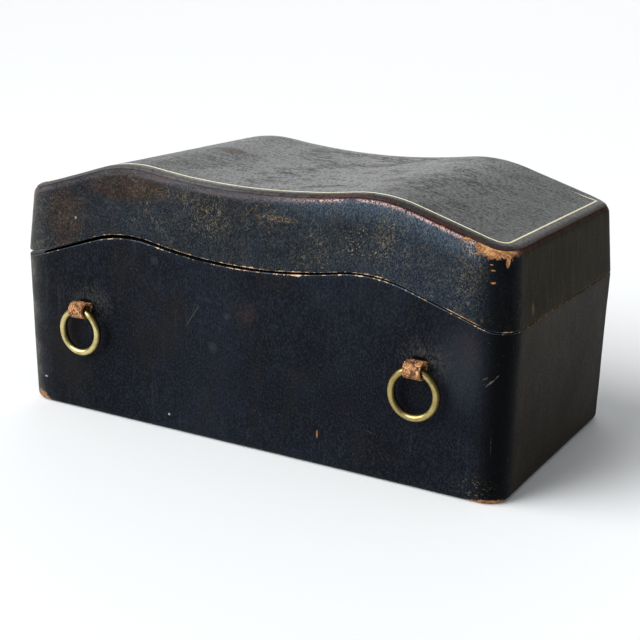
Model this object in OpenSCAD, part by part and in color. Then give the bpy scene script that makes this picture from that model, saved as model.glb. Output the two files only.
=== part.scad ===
// Leather box with a lid that waves up over two crests, hinged along the back,
// with a brass ring hanging from a leather loop near each end of the front.
// The origin is on the ground under the middle of the box, +X runs to its right end
// and +Y to its back. All lengths are in millimetres.

/* [Box] */
// Length of the box along its seam
box_l = 280; // [268:1:340]
// Depth of the box along its seam, front to back
box_d = 149; // [110:1:200]
// Height of the seam at the two ends
seam_h = 81.5; // [76:0.5:120]
// How far each body wall leans in at its foot
foot_lean = 1.1; // [0:0.1:2.5]
// Radius of the upright corners
corner_r = 12; // [10:0.5:16]
// Radius of the bottom edge
foot_r = 3.5; // [2.5:0.25:5]

/* [Lid] */
// Height of the lid above the seam at the two ends
lid_h = 37; // [32:0.5:60]
// How far each lid wall leans in below the top edge
lid_lean = 2.9; // [0:0.1:4]
// Radius of the rolled top edge
roll_r = 5; // [3.5:0.25:6.5]
// Gap under the lid at the left end, where it has warped
gap_left = 2.2; // [0.4:0.1:2.6]
// Gap under the lid at the right end, where it closes
gap_right = 0.4; // [0.3:0.1:1.5]
// Depth below the top at which the top leather meets the side leather
top_leather_drop = 1.6; // [1.5:0.1:4]

/* [Wave] */
// Distance from each end of the box to the crest of the wave
crest_from_end = 73.5; // [72:0.5:90]
// Radius of the rounded crests
crest_r = 75; // [50:1:85]
// Radius of the hollow where each slope meets the level end
wave_foot_r = 30; // [10:1:40]
// Height of the seam's crests above its ends
seam_rise = 16.8; // [12:0.1:17.5]
// Depth of the dip between the seam's crests
seam_dip = 6.2; // [3:0.1:8]
// Steepness of the seam's end slopes, in degrees
seam_slope = 18; // [17:0.25:22]
// Height of the top's crests above its ends
top_rise = 16.3; // [12:0.1:17.5]
// Depth of the dip between the top's crests
top_dip = 4.7; // [3:0.1:8]
// Steepness of the top's end slopes, in degrees
top_slope = 17; // [16.5:0.25:22]

/* [Layers] */
// Thickness of the wooden boards
board_t = 6; // [5:0.25:8]
// Thickness of the leather
leather_t = 1.2; // [0.8:0.1:1.4]
// Thickness of the covered card lining
lining_t = 1.6; // [1:0.1:2.4]
// Radius of the upright corners inside
cavity_r = 5; // [4:0.25:7]
// How far the linings stop short of the rims
lining_reveal = 1; // [0.5:0.1:2.5]
// Width of the side leather turned under the bottom
turn_under = 9; // [6:0.5:14]
// Gap between the turned-in leather and the bottom leather
bottom_joint = 0.3; // [0.2:0.1:1]

/* [Hinges] */
// Length of each hinge
hinge_l = 24; // [18:1:26]
// Thickness of each hinge leaf
leaf_t = 1.5; // [1.3:0.1:1.8]
// Radius of the knuckles
knuckle_r = 1.8; // [1.6:0.1:2.2]
// Radius of the hinge pins
pin_r = 0.9; // [0.7:0.05:1.1]
// Space all round a pin in its knuckles
pin_play = 0.05; // [0.02:0.01:0.1]
// Space between parts of a hinge that pass each other
hinge_gap = 0.3; // [0.2:0.05:0.5]
// Space between the two closed leaves
leaf_gap = 0.1; // [0.1:0.05:0.2]
// Radius of the pins' round ends
pin_end_r = 1.3; // [1.2:0.1:1.6]
// Radius of the hinge screws
screw_r = 1.1; // [0.8:0.05:1.2]
// Radius of the screws' sunk heads
screw_head_r = 2; // [1.7:0.1:2.3]
// Depth of the screws' sunk heads
screw_head_h = 1; // [0.8:0.1:1.2]
// Length of the screws
screw_l = 9; // [6:0.5:12]
// Distance between the two screws of a leaf
screw_pitch = 14; // [8:0.5:16]
// Width of the screws' slots
screw_slot = 0.5; // [0.4:0.1:0.8]

/* [Rings] */
// Outer diameter of the rings
ring_d = 26.5; // [22:0.5:32]
// Thickness of the ring wire
ring_wire = 3.8; // [3:0.1:4.4]
// Distance from each end of the box to its ring
ring_from_end = 43.4; // [38:0.2:60]
// Height of the line that the right ring swings about
ring_axis_h = 60; // [48:0.5:64]
// How much lower the left ring hangs
left_ring_lower = 2.4; // [0:0.2:5]
// Width of the leather loops
loop_w = 8.6; // [7:0.2:10]
// Thickness of the loop leather
loop_t = 1.3; // [1:0.1:1.6]
// Space round the ring wire inside a loop
eye_play = 0.05; // [0.05:0.05:0.3]
// Space between a loop and the front of the box
loop_stand_off = 0.1; // [0.05:0.05:0.5]
// Height of the slit above the ring's line
slit_rise = 2; // [1.5:0.1:2.4]
// Space round a loop in its slit and its recess
slit_play = 0.1; // [0.05:0.05:0.3]
// Length of each loop tail inside the wall
loop_tail = 12; // [8:0.5:14]
// Radius of the tacks that hold the tails
tack_r = 0.7; // [0.5:0.05:0.9]
// Radius of the tack heads
tack_head_r = 2; // [1.5:0.1:2.5]
// Thickness of the tack heads
tack_head_h = 0.8; // [0.5:0.1:1]
// Length of the tack shanks
tack_l = 4; // [3:0.1:4.4]

/* [Hidden] */
$fn = 48;

leather = [0.09, 0.10, 0.13];
top_leather = [0.17, 0.18, 0.20];
wood = [0.62, 0.47, 0.30];
lining = [0.42, 0.10, 0.12];
brass = [0.78, 0.64, 0.30];
tan_leather = [0.60, 0.33, 0.16];

// Half sizes of the box at its seam, and heights of the lid's ends, the floor and the crests
half_l = box_l / 2;
half_d = box_d / 2;
end_h = seam_h + lid_h;
crest_x = half_l - crest_from_end;
crest_h = seam_h + seam_rise;
floor_h = leather_t + board_t;

// Half sizes of the space inside the boards
cavity_l = half_l - leather_t - board_t;
cavity_d = half_d - leather_t - board_t;

// Steps along each arc of the waves, round each corner, the foot and the rolled top edge
dip_steps = 6;
crest_steps = 6;
wave_foot_steps = 2;
corner_steps = 5;
foot_steps = 3;
roll_steps = 4;

// A block that cuts runs past what it cuts by this much
past = 10;

// Height of a wave of [rise, dip, slope] above its level ends: an arc in the dip,
// an arc over each crest, a straight slope and a hollow arc at the level end
function dip_turn(wave) = 2 * atan(wave[1] / crest_x);
function dip_r(wave) = crest_x / sin(dip_turn(wave)) - crest_r;
function dip_end(wave) = dip_r(wave) * sin(dip_turn(wave));
function slope_x(wave) = crest_x + crest_r * sin(wave[2]);
function slope_z(wave) = wave[0] - crest_r * (1 - cos(wave[2]));
function meet_x(wave) = slope_x(wave) + slope_z(wave) / tan(wave[2]);
function foot_run(wave) = wave_foot_r * tan(wave[2] / 2);
function foot_start(wave) = meet_x(wave) - foot_run(wave) * cos(wave[2]);
function foot_end(wave) = meet_x(wave) + foot_run(wave);
function half_wave(x, wave) =
    x <= dip_end(wave) ? wave[0] - wave[1] + dip_r(wave) - sqrt(dip_r(wave) ^ 2 - x ^ 2)
    : x <= slope_x(wave) ? wave[0] - crest_r + sqrt(crest_r ^ 2 - (x - crest_x) ^ 2)
    : x <= foot_start(wave) ? slope_z(wave) - (x - slope_x(wave)) * tan(wave[2])
    : x <= foot_end(wave) ? wave_foot_r - sqrt(wave_foot_r ^ 2 - (foot_end(wave) - x) ^ 2)
    : 0;
seam_wave = [seam_rise, seam_dip, seam_slope];
top_wave = [top_rise, top_dip, top_slope];
function seam_z(x) = seam_h + half_wave(abs(x), seam_wave);
function top_z(x) = end_h + half_wave(abs(x), top_wave);
function gap_z(x) = gap_right + (gap_left - gap_right) * (half_l - x) / box_l;

// Places along the length where the outlines have a point
half_stations = concat(
    [for (i = [0:dip_steps]) dip_r(seam_wave) * sin(dip_turn(seam_wave) * i / dip_steps)],
    [for (i = [1:crest_steps])
        let (turn = dip_turn(seam_wave), angle = -turn + (turn + seam_slope) * i / crest_steps)
        crest_x + crest_r * sin(angle)],
    [for (i = [0:wave_foot_steps])
        foot_end(seam_wave) - wave_foot_r * sin(seam_slope * (1 - i / wave_foot_steps))]);
stations = concat([for (i = [len(half_stations) - 1:-1:1]) -half_stations[i]], half_stations);
straight_l = half_l - corner_r - max(lid_lean, foot_lean) - 1;
wall_stations = [for (x = stations) if (abs(x) < straight_l) x];

// Height at x of one of four kinds of line, raised by an offset
LEVEL = 0;
SEAM = 1;
LID_RIM = 2;
TOP = 3;
function line_z(x, line, raised) =
    line == SEAM ? seam_z(x) + raised
    : line == LID_RIM ? seam_z(x) + gap_z(x) + raised
    : line == TOP ? top_z(x) + raised
    : raised;

// One row of points round the box: a rounded rectangle that is drawn in by lean,
// set in from the surface by inset, with its points on one of the lines above
function half_row(lean, inset) =
    let (cx = half_l - lean - corner_r, cy = half_d - lean - corner_r, r = corner_r - inset)
    concat(
        [for (i = [0:corner_steps])
            let (a = 180 + 90 * i / corner_steps) [-cx + r * cos(a), -cy + r * sin(a)]],
        [for (x = wall_stations) [x, -cy - r]],
        [for (i = [0:corner_steps])
            let (a = 270 + 90 * i / corner_steps) [cx + r * cos(a), -cy + r * sin(a)]]);
function row(line, raised, lean, inset) =
    let (half = half_row(lean, inset), n = len(half))
    [for (i = [0:2 * n - 1])
        let (p = i < n ? half[i] : half[2 * n - 1 - i])
        [p[0], i < n ? p[1] : -p[1], line_z(p[0], line, raised)]];

// A closed solid through rows of points, lowest first
module lofted(rows) {
    n = len(rows[0]);
    top = (len(rows) - 1) * n;
    sides = [for (k = [0:len(rows) - 2], i = [0:n - 1])
        let (j = (i + 1) % n)
        [k * n + i, (k + 1) * n + i, (k + 1) * n + j, k * n + j]];
    under = [for (i = [0:n / 2 - 2]) [i, i + 1, n - 2 - i, n - 1 - i]];
    over = [for (i = [0:n / 2 - 2]) [top + n - 1 - i, top + n - 2 - i, top + i + 1, top + i]];
    polyhedron(points = [for (r = rows) each r], faces = concat(sides, under, over));
}

// The body's outside, set in by inset, carried on past the seam. The boards of the walls
// stand above the rounded foot, so they can leave it out
module base_form(inset, whole = true) {
    r = foot_r - inset;
    foot = [for (k = [whole ? 0 : foot_steps:foot_steps])
        let (a = 90 * k / foot_steps)
        row(LEVEL, inset + r * (1 - cos(a)), foot_lean, inset + r * (1 - sin(a)))];
    wall = [row(SEAM, 0, 0, inset), row(SEAM, past, 0, inset)];
    lofted(concat(foot, wall));
}

// The lid's outside, set in by inset, carried on down past the seam. The boards of the walls
// end under the rolled edge, so they can leave it out
module lid_form(inset, whole = true) {
    r = roll_r - inset;
    wall = [row(SEAM, -past, 0, inset), row(SEAM, 0, 0, inset)];
    roll = [for (k = [0:whole ? roll_steps : 0])
        let (a = 90 * k / roll_steps)
        row(TOP, -inset - r * (1 - sin(a)), lid_lean, inset + r * (1 - cos(a)))];
    lofted(concat(wall, roll));
}

// Everything between two lines, or between a line and a level, right through the box
function line_points(line, raised) =
    [for (x = concat([-half_l - past], stations, [half_l + past])) [x, line_z(x, line, raised)]];
module between(low_line, low_raised, high_line, high_raised) {
    low = line_points(low_line, low_raised);
    high = line_points(high_line, high_raised);
    rotate([90, 0, 0])
        linear_extrude(box_d + 2 * past, center = true)
            polygon(concat(low, [for (i = [len(high) - 1:-1:0]) high[i]]));
}

// The space inside the boards, drawn in by inset
module cavity(inset) {
    linear_extrude(crest_h + lid_h + past) {
        for (sx = [-1, 1], sy = [-1, 1])
            translate([sx * (cavity_l - cavity_r), sy * (cavity_d - cavity_r)])
                circle(cavity_r - inset);
        square([2 * (cavity_l - inset), 2 * (cavity_d - cavity_r)], center = true);
        square([2 * (cavity_l - cavity_r), 2 * (cavity_d - inset)], center = true);
    }
}

// The parts of the box that each of the four boards of a wall takes
module front_half_space() {
    translate([-half_l - past, -half_d - past, -past])
        cube([box_l + 2 * past, past + half_d - cavity_d, crest_h + lid_h + 3 * past]);
}
module right_half_space() {
    translate([cavity_l - cavity_r, -cavity_d, -past])
        cube([past + half_l - cavity_l + cavity_r, 2 * cavity_d, crest_h + lid_h + 3 * past]);
}

// Hinges sit on the crests, with their parting plane in the middle of the seam gap
hinge_z = crest_h + (gap_left + gap_right) / 4;
hinge_y = half_d + hinge_gap + knuckle_r;
knuckle_l = hinge_l / 3;
screw_y = half_d - leather_t - board_t / 2;
screw_play = 0.03;
module at_hinges(sides = [-1, 1]) {
    for (side = sides)
        translate([side * crest_x, 0, hinge_z])
            children();
}

// Holes for the leaves and screws, up = -1 in the body and 1 in the lid
module hinge_pocket(up, play) {
    at_hinges() {
        translate([-hinge_l / 2 - play, cavity_d - 1, up > 0 ? -past : -leaf_t])
            cube([hinge_l + 2 * play, half_d - cavity_d + past, past + leaf_t]);
        leaf_screws(up, screw_play);
    }
}

// Rings hang in front of the wall, each in the eye of its loop
wire_r = ring_wire / 2;
ring_r = ring_d / 2 - wire_r;
ring_inner_r = ring_r - wire_r;
ring_sag = ring_inner_r - sqrt(ring_inner_r ^ 2 - (loop_w / 2) ^ 2);
eye_r = wire_r + ring_sag + eye_play;
eye_outer_r = eye_r + loop_t;
ring_y = -half_d - loop_stand_off - eye_outer_r;
ring_x = half_l - ring_from_end;
neck_h = 2 * loop_t;
recess_d = loop_t + tack_head_h + slit_play;
tack_rise = neck_h / 2 + loop_tail * 0.6;
module at_ring(side) {
    translate([side * ring_x, ring_y, ring_axis_h - (side < 0 ? left_ring_lower : 0)])
        children();
}

// Extrudes an outline drawn in Y and Z along X
module along_x(width) {
    rotate([90, 0, 90])
        linear_extrude(width, center = true)
            children();
}

// The slit for a loop's neck and the recess for its tails, with room all round
module loop_space(side) {
    at_ring(side)
        along_x(loop_w + 2 * slit_play) {
            translate([0, slit_rise - neck_h / 2 - slit_play])
                square([-cavity_d - ring_y + 1, neck_h + 2 * slit_play]);
            translate([-cavity_d - ring_y - recess_d, slit_rise - neck_h / 2 - loop_tail - slit_play])
                square([recess_d + 1, neck_h + 2 * loop_tail + 2 * slit_play]);
        }
}
module tack_holes() {
    for (side = [-1, 1], up = [-1, 1])
        at_tack(side, up)
            cylinder(r = tack_r + screw_play, h = tack_l + recess_d);
}
// Origin under the head of a tack, +Z along its shank
module at_tack(side, up) {
    at_ring(side)
        translate([0, -cavity_d - ring_y - recess_d + loop_t, slit_rise + up * tack_rise])
            rotate([90, 0, 0])
                children();
}

// Body of the box
module base_walls() {
    difference() {
        intersection() {
            base_form(leather_t, whole = false);
            between(LEVEL, floor_h, SEAM, -leather_t);
        }
        cavity(0);
        hinge_pocket(-1, 0);
        for (side = [-1, 1])
            loop_space(side);
        tack_holes();
    }
}
module base_bottom_board() {
    color(wood)
        intersection() {
            base_form(leather_t);
            between(LEVEL, -past, LEVEL, floor_h);
        }
}
module base_front_board() {
    color(wood)
        intersection() {
            base_walls();
            front_half_space();
        }
}
module base_back_board() {
    color(wood)
        intersection() {
            base_walls();
            mirror([0, 1, 0])
                front_half_space();
        }
}
module base_right_board() {
    color(wood)
        intersection() {
            base_walls();
            right_half_space();
        }
}
module base_left_board() {
    color(wood)
        intersection() {
            base_walls();
            mirror([1, 0, 0])
                right_half_space();
        }
}

// One hide round the walls, turned in over the rim and under the bottom
module base_side_leather() {
    color(leather)
        difference() {
            intersection() {
                base_form(0);
                between(LEVEL, -past, SEAM, 0);
            }
            intersection() {
                base_form(leather_t);
                between(LEVEL, leather_t, SEAM, -leather_t);
            }
            translate([0, 0, floor_h])
                cavity(0);
            bottom_outline(turn_under - bottom_joint, -1, leather_t + 2);
            hinge_pocket(-1, 0);
            for (side = [-1, 1])
                loop_space(side);
        }
}

// A slab of the bottom's outline, set in from the foot, from z = low up by h
module bottom_outline(inset, low, h) {
    translate([-half_l + foot_lean + inset, -half_d + foot_lean + inset, low])
        cube([box_l - 2 * foot_lean - 2 * inset, box_d - 2 * foot_lean - 2 * inset, h]);
}
module base_bottom_leather() {
    color(leather)
        bottom_outline(turn_under, 0, leather_t);
}
module base_wall_lining() {
    color(lining)
        difference() {
            intersection() {
                cavity(0);
                between(LEVEL, floor_h, SEAM, -leather_t - lining_reveal);
            }
            cavity(lining_t);
        }
}
module base_floor_lining() {
    color(lining)
        intersection() {
            cavity(lining_t);
            between(LEVEL, floor_h, LEVEL, floor_h + lining_t);
        }
}

// Lid of the box
module lid_walls() {
    difference() {
        intersection() {
            lid_form(leather_t, whole = false);
            between(LID_RIM, leather_t, TOP, -leather_t - board_t);
        }
        cavity(0);
        hinge_pocket(1, hinge_gap);
    }
}
module lid_top_board() {
    color(wood)
        intersection() {
            lid_form(leather_t);
            between(TOP, -leather_t - board_t, TOP, past);
        }
}
module lid_front_board() {
    color(wood)
        intersection() {
            lid_walls();
            front_half_space();
        }
}
module lid_back_board() {
    color(wood)
        intersection() {
            lid_walls();
            mirror([0, 1, 0])
                front_half_space();
        }
}
module lid_right_board() {
    color(wood)
        intersection() {
            lid_walls();
            right_half_space();
        }
}
module lid_left_board() {
    color(wood)
        intersection() {
            lid_walls();
            mirror([1, 0, 0])
                right_half_space();
        }
}

// One hide round the lid's walls, turned in over the rim, with its upper edge under the top's
module lid_side_leather() {
    color(leather)
        difference() {
            intersection() {
                lid_form(0);
                between(LID_RIM, 0, TOP, -top_leather_drop);
            }
            intersection() {
                lid_form(leather_t);
                between(LID_RIM, leather_t, TOP, past);
            }
            cavity(0);
            hinge_pocket(1, hinge_gap);
        }
}
module lid_top_leather() {
    color(top_leather)
        difference() {
            intersection() {
                lid_form(0);
                between(TOP, -top_leather_drop, TOP, past);
            }
            lid_form(leather_t);
        }
}
module lid_wall_lining() {
    color(lining)
        difference() {
            intersection() {
                cavity(0);
                between(LID_RIM, leather_t + lining_reveal, TOP, -leather_t - board_t - lining_t);
            }
            cavity(lining_t);
        }
}
module lid_top_lining() {
    color(lining)
        intersection() {
            cavity(0);
            between(TOP, -leather_t - board_t - lining_t, TOP, -leather_t - board_t);
        }
}

// A hinge leaf with its knuckles, up = -1 for the body's and 1 for the lid's.
// The body's leaf has the two outer knuckles and the lid's has the middle one
module hinge_knuckles(up, r, extra) {
    for (x = up < 0 ? [-1, 1] : [0])
        translate([x * knuckle_l, hinge_y, 0])
            rotate([0, 90, 0])
                cylinder(r = r, h = knuckle_l + extra, center = true);
}
module hinge_leaf(side, up) {
    low = up > 0 ? leaf_gap / 2 : -leaf_t;
    color(brass)
        at_hinges([side])
            difference() {
                union() {
                    translate([-hinge_l / 2, cavity_d, low])
                        cube([hinge_l, hinge_y - cavity_d, leaf_t - leaf_gap / 2]);
                    hinge_knuckles(up, knuckle_r, up > 0 ? -hinge_gap : 0);
                }
                hinge_knuckles(-up, knuckle_r + hinge_gap, up > 0 ? hinge_gap : 0);
                translate([0, hinge_y, 0])
                    rotate([0, 90, 0])
                        cylinder(r = pin_r + pin_play, h = hinge_l + 2, center = true);
                leaf_screws(up, screw_play);
            }
}

// The two screws of each hinge leaf, countersunk, heads at the parting plane, points away
// from it, with play all round
module leaf_screws(up, play) {
    for (x = [-1, 1])
        translate([x * screw_pitch / 2, screw_y, up * leaf_gap / 2])
            mirror([0, 0, up > 0 ? 0 : 1]) {
                cylinder(r1 = screw_head_r + play, r2 = screw_r + play, h = screw_head_h);
                cylinder(r = screw_r + play, h = leaf_t - leaf_gap / 2 + screw_l);
            }
}
module hinge_screws(up) {
    color(brass)
        at_hinges()
            difference() {
                leaf_screws(up, 0);
                translate([-hinge_l / 2, screw_y - screw_slot / 2, -screw_slot - leaf_gap / 2])
                    cube([hinge_l, screw_slot, 2 * screw_slot + leaf_gap]);
            }
}
module hinge_pin(side) {
    color(brass)
        at_hinges([side])
            translate([0, hinge_y, 0])
                rotate([0, 90, 0]) {
                    cylinder(r = pin_r, h = hinge_l, center = true);
                    for (end = [-1, 1])
                        translate([0, 0, end * hinge_l / 2])
                            mirror([0, 0, end > 0 ? 0 : 1])
                                pin_end();
                }
}
module pin_end() {
    rotate_extrude()
        intersection() {
            circle(pin_end_r);
            square(pin_end_r);
        }
}
module base_leaf_left() { hinge_leaf(-1, -1); }
module base_leaf_right() { hinge_leaf(1, -1); }
module lid_leaf_left() { hinge_leaf(-1, 1); }
module lid_leaf_right() { hinge_leaf(1, 1); }
module hinge_pin_left() { hinge_pin(-1); }
module hinge_pin_right() { hinge_pin(1); }
module base_hinge_screws() { hinge_screws(-1); }
module lid_hinge_screws() { hinge_screws(1); }

// A strip of leather folded round the ring, its ends through a slit and spread inside
module ring_loop(side) {
    inner_y = -cavity_d - ring_y - recess_d;
    color(tan_leather)
        difference() {
            at_ring(side)
                along_x(loop_w)
                    difference() {
                        union() {
                            circle(eye_outer_r);
                            translate([0, slit_rise - neck_h / 2])
                                square([inner_y, neck_h]);
                            translate([inner_y, slit_rise - neck_h / 2 - loop_tail])
                                square([loop_t, neck_h + 2 * loop_tail]);
                        }
                        circle(eye_r);
                    }
            tack_holes();
        }
}
module ring_loop_left() { ring_loop(-1); }
module ring_loop_right() { ring_loop(1); }
module loop_tacks() {
    color(brass)
        for (side = [-1, 1], up = [-1, 1])
            at_tack(side, up) {
                cylinder(r = tack_r, h = tack_l);
                translate([0, 0, -tack_head_h])
                    cylinder(r = tack_head_r, h = tack_head_h);
            }
}

// A ring of round brass wire that hangs flat against the front
module ring(side) {
    color(brass)
        at_ring(side)
            translate([0, 0, -ring_r])
                rotate([90, 0, 0])
                    rotate_extrude($fn = 96)
                        translate([ring_r, 0])
                            circle(wire_r);
}
module ring_left() { ring(-1); }
module ring_right() { ring(1); }

base_bottom_board();
base_front_board();
base_back_board();
base_left_board();
base_right_board();
base_side_leather();
base_bottom_leather();
base_wall_lining();
base_floor_lining();
lid_top_board();
lid_front_board();
lid_back_board();
lid_left_board();
lid_right_board();
lid_side_leather();
lid_top_leather();
lid_wall_lining();
lid_top_lining();
base_leaf_left();
base_leaf_right();
lid_leaf_left();
lid_leaf_right();
hinge_pin_left();
hinge_pin_right();
base_hinge_screws();
lid_hinge_screws();
ring_loop_left();
ring_loop_right();
loop_tacks();
ring_left();
ring_right();
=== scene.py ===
import math

import bmesh
import bpy
from mathutils import Matrix, Vector


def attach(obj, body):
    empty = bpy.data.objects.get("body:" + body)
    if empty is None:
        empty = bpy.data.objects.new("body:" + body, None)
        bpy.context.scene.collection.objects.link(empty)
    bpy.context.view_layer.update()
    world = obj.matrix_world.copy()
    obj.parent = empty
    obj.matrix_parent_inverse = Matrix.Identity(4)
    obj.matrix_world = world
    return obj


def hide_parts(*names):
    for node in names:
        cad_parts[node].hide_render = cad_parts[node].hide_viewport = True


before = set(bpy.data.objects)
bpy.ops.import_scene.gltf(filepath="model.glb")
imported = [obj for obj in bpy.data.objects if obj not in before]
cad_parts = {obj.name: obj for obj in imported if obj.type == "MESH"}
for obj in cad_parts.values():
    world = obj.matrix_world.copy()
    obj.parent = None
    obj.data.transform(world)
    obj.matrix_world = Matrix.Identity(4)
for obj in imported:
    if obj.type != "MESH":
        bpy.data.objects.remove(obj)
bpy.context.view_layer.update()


# The studio. A plain white floor, a white room that only the camera sees at full strength,
# two broad patches of sky, one soft lamp at the front left, and the photograph's camera.
bpy.context.scene.view_settings.view_transform = "Standard"
CAMERA_AT = Vector((0.32355, -0.56644, 0.23720))
CAMERA_RIGHT = Vector((0.86801, 0.49611, 0.02052))
CAMERA_UP = Vector((-0.15472, 0.23098, 0.96058))
bpy.ops.object.camera_add()
camera = bpy.context.object
turn = Matrix((CAMERA_RIGHT, CAMERA_UP, CAMERA_RIGHT.cross(CAMERA_UP))).transposed()
camera.matrix_world = Matrix.Translation(CAMERA_AT) @ turn.to_4x4()
camera.data.sensor_width = 36
camera.data.lens = 70.8
camera.data.shift_x = -0.0038
camera.data.clip_start = 0.01
bpy.context.scene.camera = camera

room = bpy.data.worlds.new("white_room")
room.use_nodes = True
sky_light = room.node_tree.nodes["Background"]
sky_light.inputs["Color"].default_value = (0.93, 0.97, 1.0, 1)
ray_kind = room.node_tree.nodes.new("ShaderNodeLightPath")
strength = room.node_tree.nodes.new("ShaderNodeMapRange")
strength.inputs["To Min"].default_value = 0.38
strength.inputs["To Max"].default_value = 1.0
room.node_tree.links.new(ray_kind.outputs["Is Camera Ray"], strength.inputs["Value"])
room.node_tree.links.new(strength.outputs["Result"], sky_light.inputs["Strength"])
bpy.context.scene.world = room


def soft_lamp(name, at, aim, width, height, power, colour):
    """A flat lamp at a place, aimed at another. The camera doesn't see it."""
    bpy.ops.object.light_add(type="AREA", location=at)
    lamp = bpy.context.object
    lamp.name = name
    lamp.rotation_euler = (Vector(aim) - Vector(at)).to_track_quat("-Z", "Y").to_euler()
    lamp.data.shape = "RECTANGLE"
    lamp.data.size, lamp.data.size_y = width, height
    lamp.visible_camera = False
    lamp.data.energy = power
    lamp.data.color = colour


def open_sky(name, way, power, spread):
    """A broad bright patch of sky, given by the way to it from the object."""
    bpy.ops.object.light_add(type="SUN")
    patch = bpy.context.object
    patch.name = name
    patch.rotation_euler = Vector(way).to_track_quat("Z", "Y").to_euler()
    patch.data.energy = power
    patch.data.angle = math.radians(spread)


open_sky("left_sky", (-0.551, -0.532, 0.643), 2.9, 55)
open_sky("back_sky", (-1.1, 2.5, 0.85), 0.8, 46)
soft_lamp("front_left_lamp", (-1.05, -1.8, 0.85), (0, 0, 0.1), 1.1, 1.1, 20, (0.86, 0.94, 1.0))

bpy.ops.object.select_all(action="DESELECT")
bpy.ops.mesh.primitive_plane_add(size=60)
floor = bpy.context.object
floor.name = "studio_floor"
paper = bpy.data.materials.new("floor_paper")
paper.use_nodes = True
paper_shader = paper.node_tree.nodes["Principled BSDF"]
paper_shader.inputs["Base Color"].default_value = (0.92, 0.92, 0.92, 1)
paper_shader.inputs["Roughness"].default_value = 0.9
floor.data.materials.append(paper)


# The boards. The box is joined from thin softwood boards, bare, and hidden under the
# leather outside and the lining inside. They are the model's own solids.
class Wire:
    """A socket of a material. Sums, differences and products of wires add Math nodes."""

    def __init__(self, tree, socket=None):
        self.tree = tree
        self.socket = socket

    def node(self, kind, settings, inputs, out=0):
        made = self.tree.nodes.new(kind)
        for name, value in settings.items():
            setattr(made, name, value)
        for name, value in inputs.items():
            if isinstance(value, Wire):
                self.tree.links.new(value.socket, made.inputs[name])
            else:
                made.inputs[name].default_value = value
        return Wire(self.tree, made.outputs[out])

    def math(self, operation, first, second=0.0):
        return self.node("ShaderNodeMath", {"operation": operation}, {0: first, 1: second})

    def __add__(self, other):
        return self.math("ADD", self, other)

    def __sub__(self, other):
        return self.math("SUBTRACT", self, other)

    def __rsub__(self, other):
        return self.math("SUBTRACT", other, self)

    def __mul__(self, other):
        return self.math("MULTIPLY", self, other)

    __radd__ = __add__
    __rmul__ = __mul__

    def unsigned(self):
        return self.math("ABSOLUTE", self)

    def rise(self, low, high):
        """0 below low, 1 above high and a smooth step between them, low above high too."""
        return self.node("ShaderNodeMapRange", {"interpolation_type": "SMOOTHSTEP"},
                         {"Value": self, "From Min": low, "From Max": high})

    def shifted(self, factors, offsets=(0, 0, 0)):
        """A place, stretched by factors along the axes and moved by offsets."""
        return self.node("ShaderNodeMapping", {}, {"Vector": self, "Scale": factors,
                                                   "Location": offsets})

    def warped(self, scale, amount):
        """A place, pushed about by soft noise."""
        push = self.node("ShaderNodeTexNoise", {}, {"Vector": self, "Scale": scale}, "Color")
        centred = self.node("ShaderNodeVectorMath", {"operation": "SUBTRACT"},
                            {0: push, 1: (0.5, 0.5, 0.5)})
        small = self.node("ShaderNodeVectorMath", {"operation": "SCALE"},
                          {0: centred, "Scale": amount})
        return self.node("ShaderNodeVectorMath", {"operation": "ADD"}, {0: self, 1: small})

    def noise(self, scale, detail=3.0, roughness=0.5, distortion=0.0):
        return self.node("ShaderNodeTexNoise", {},
                         {"Vector": self, "Scale": scale, "Detail": detail,
                          "Roughness": roughness, "Distortion": distortion})

    def cells(self, scale):
        """How far a place is from the nearest border between round cells."""
        return self.node("ShaderNodeTexVoronoi", {"feature": "DISTANCE_TO_EDGE"},
                         {"Vector": self, "Scale": scale})

    def scored(self, start, end, width):
        """1 on a straight scratch on the front, from one (x, z) to another."""
        run, rise = end[0] - start[0], end[1] - start[1]
        long = math.hypot(run, rise)
        x, _, z = self.axes()
        x, z = x - (start[0] + end[0]) / 2, z - (start[1] + end[1]) / 2
        across = x * (rise / long) - z * (run / long)
        along = x * (run / long) + z * (rise / long)
        return across.line(width) * along.unsigned().rise(long / 2, long / 3)

    def stored(self, name):
        """A measure that keep_measure stored on the mesh."""
        return self.node("ShaderNodeAttribute", {"attribute_name": name}, {}, "Fac")

    def axes(self):
        split = self.tree.nodes.new("ShaderNodeSeparateXYZ")
        self.tree.links.new(self.socket, split.inputs[0])
        return [Wire(self.tree, socket) for socket in split.outputs]

    def length_from(self, centre, sizes):
        """How far a place is from a centre, counted in sizes along the axes."""
        moved = self.node("ShaderNodeVectorMath", {"operation": "SUBTRACT"},
                          {0: self, 1: centre})
        counted = self.node("ShaderNodeVectorMath", {"operation": "DIVIDE"},
                            {0: moved, 1: sizes})
        return self.node("ShaderNodeVectorMath", {"operation": "LENGTH"}, {0: counted}, 1)

    def mark(self, centre, sizes, softness=0.7):
        """1 on a spot of the surface, fading to 0 at sizes from its centre."""
        return self.length_from(centre, sizes).rise(1.0, 1.0 - softness)

    def line(self, width):
        """1 where this wire is close to 0, a fine line."""
        return self.unsigned().rise(width, 0.0)

    def mixed(self, under, over):
        """The colour under, turned to the colour over where this wire is 1."""
        return self.node("ShaderNodeMix", {"data_type": "RGBA"},
                         {0: self, 6: colour_of(under), 7: colour_of(over)}, 2)


def colour_of(colour):
    """A colour given as 0 to 255 on a screen, as the light it stands for."""
    if isinstance(colour, Wire):
        return colour
    light = [c / 255 for c in colour]
    return (*[c / 12.92 if c < 0.04045 else ((c + 0.055) / 1.055) ** 2.4 for c in light], 1)


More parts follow.
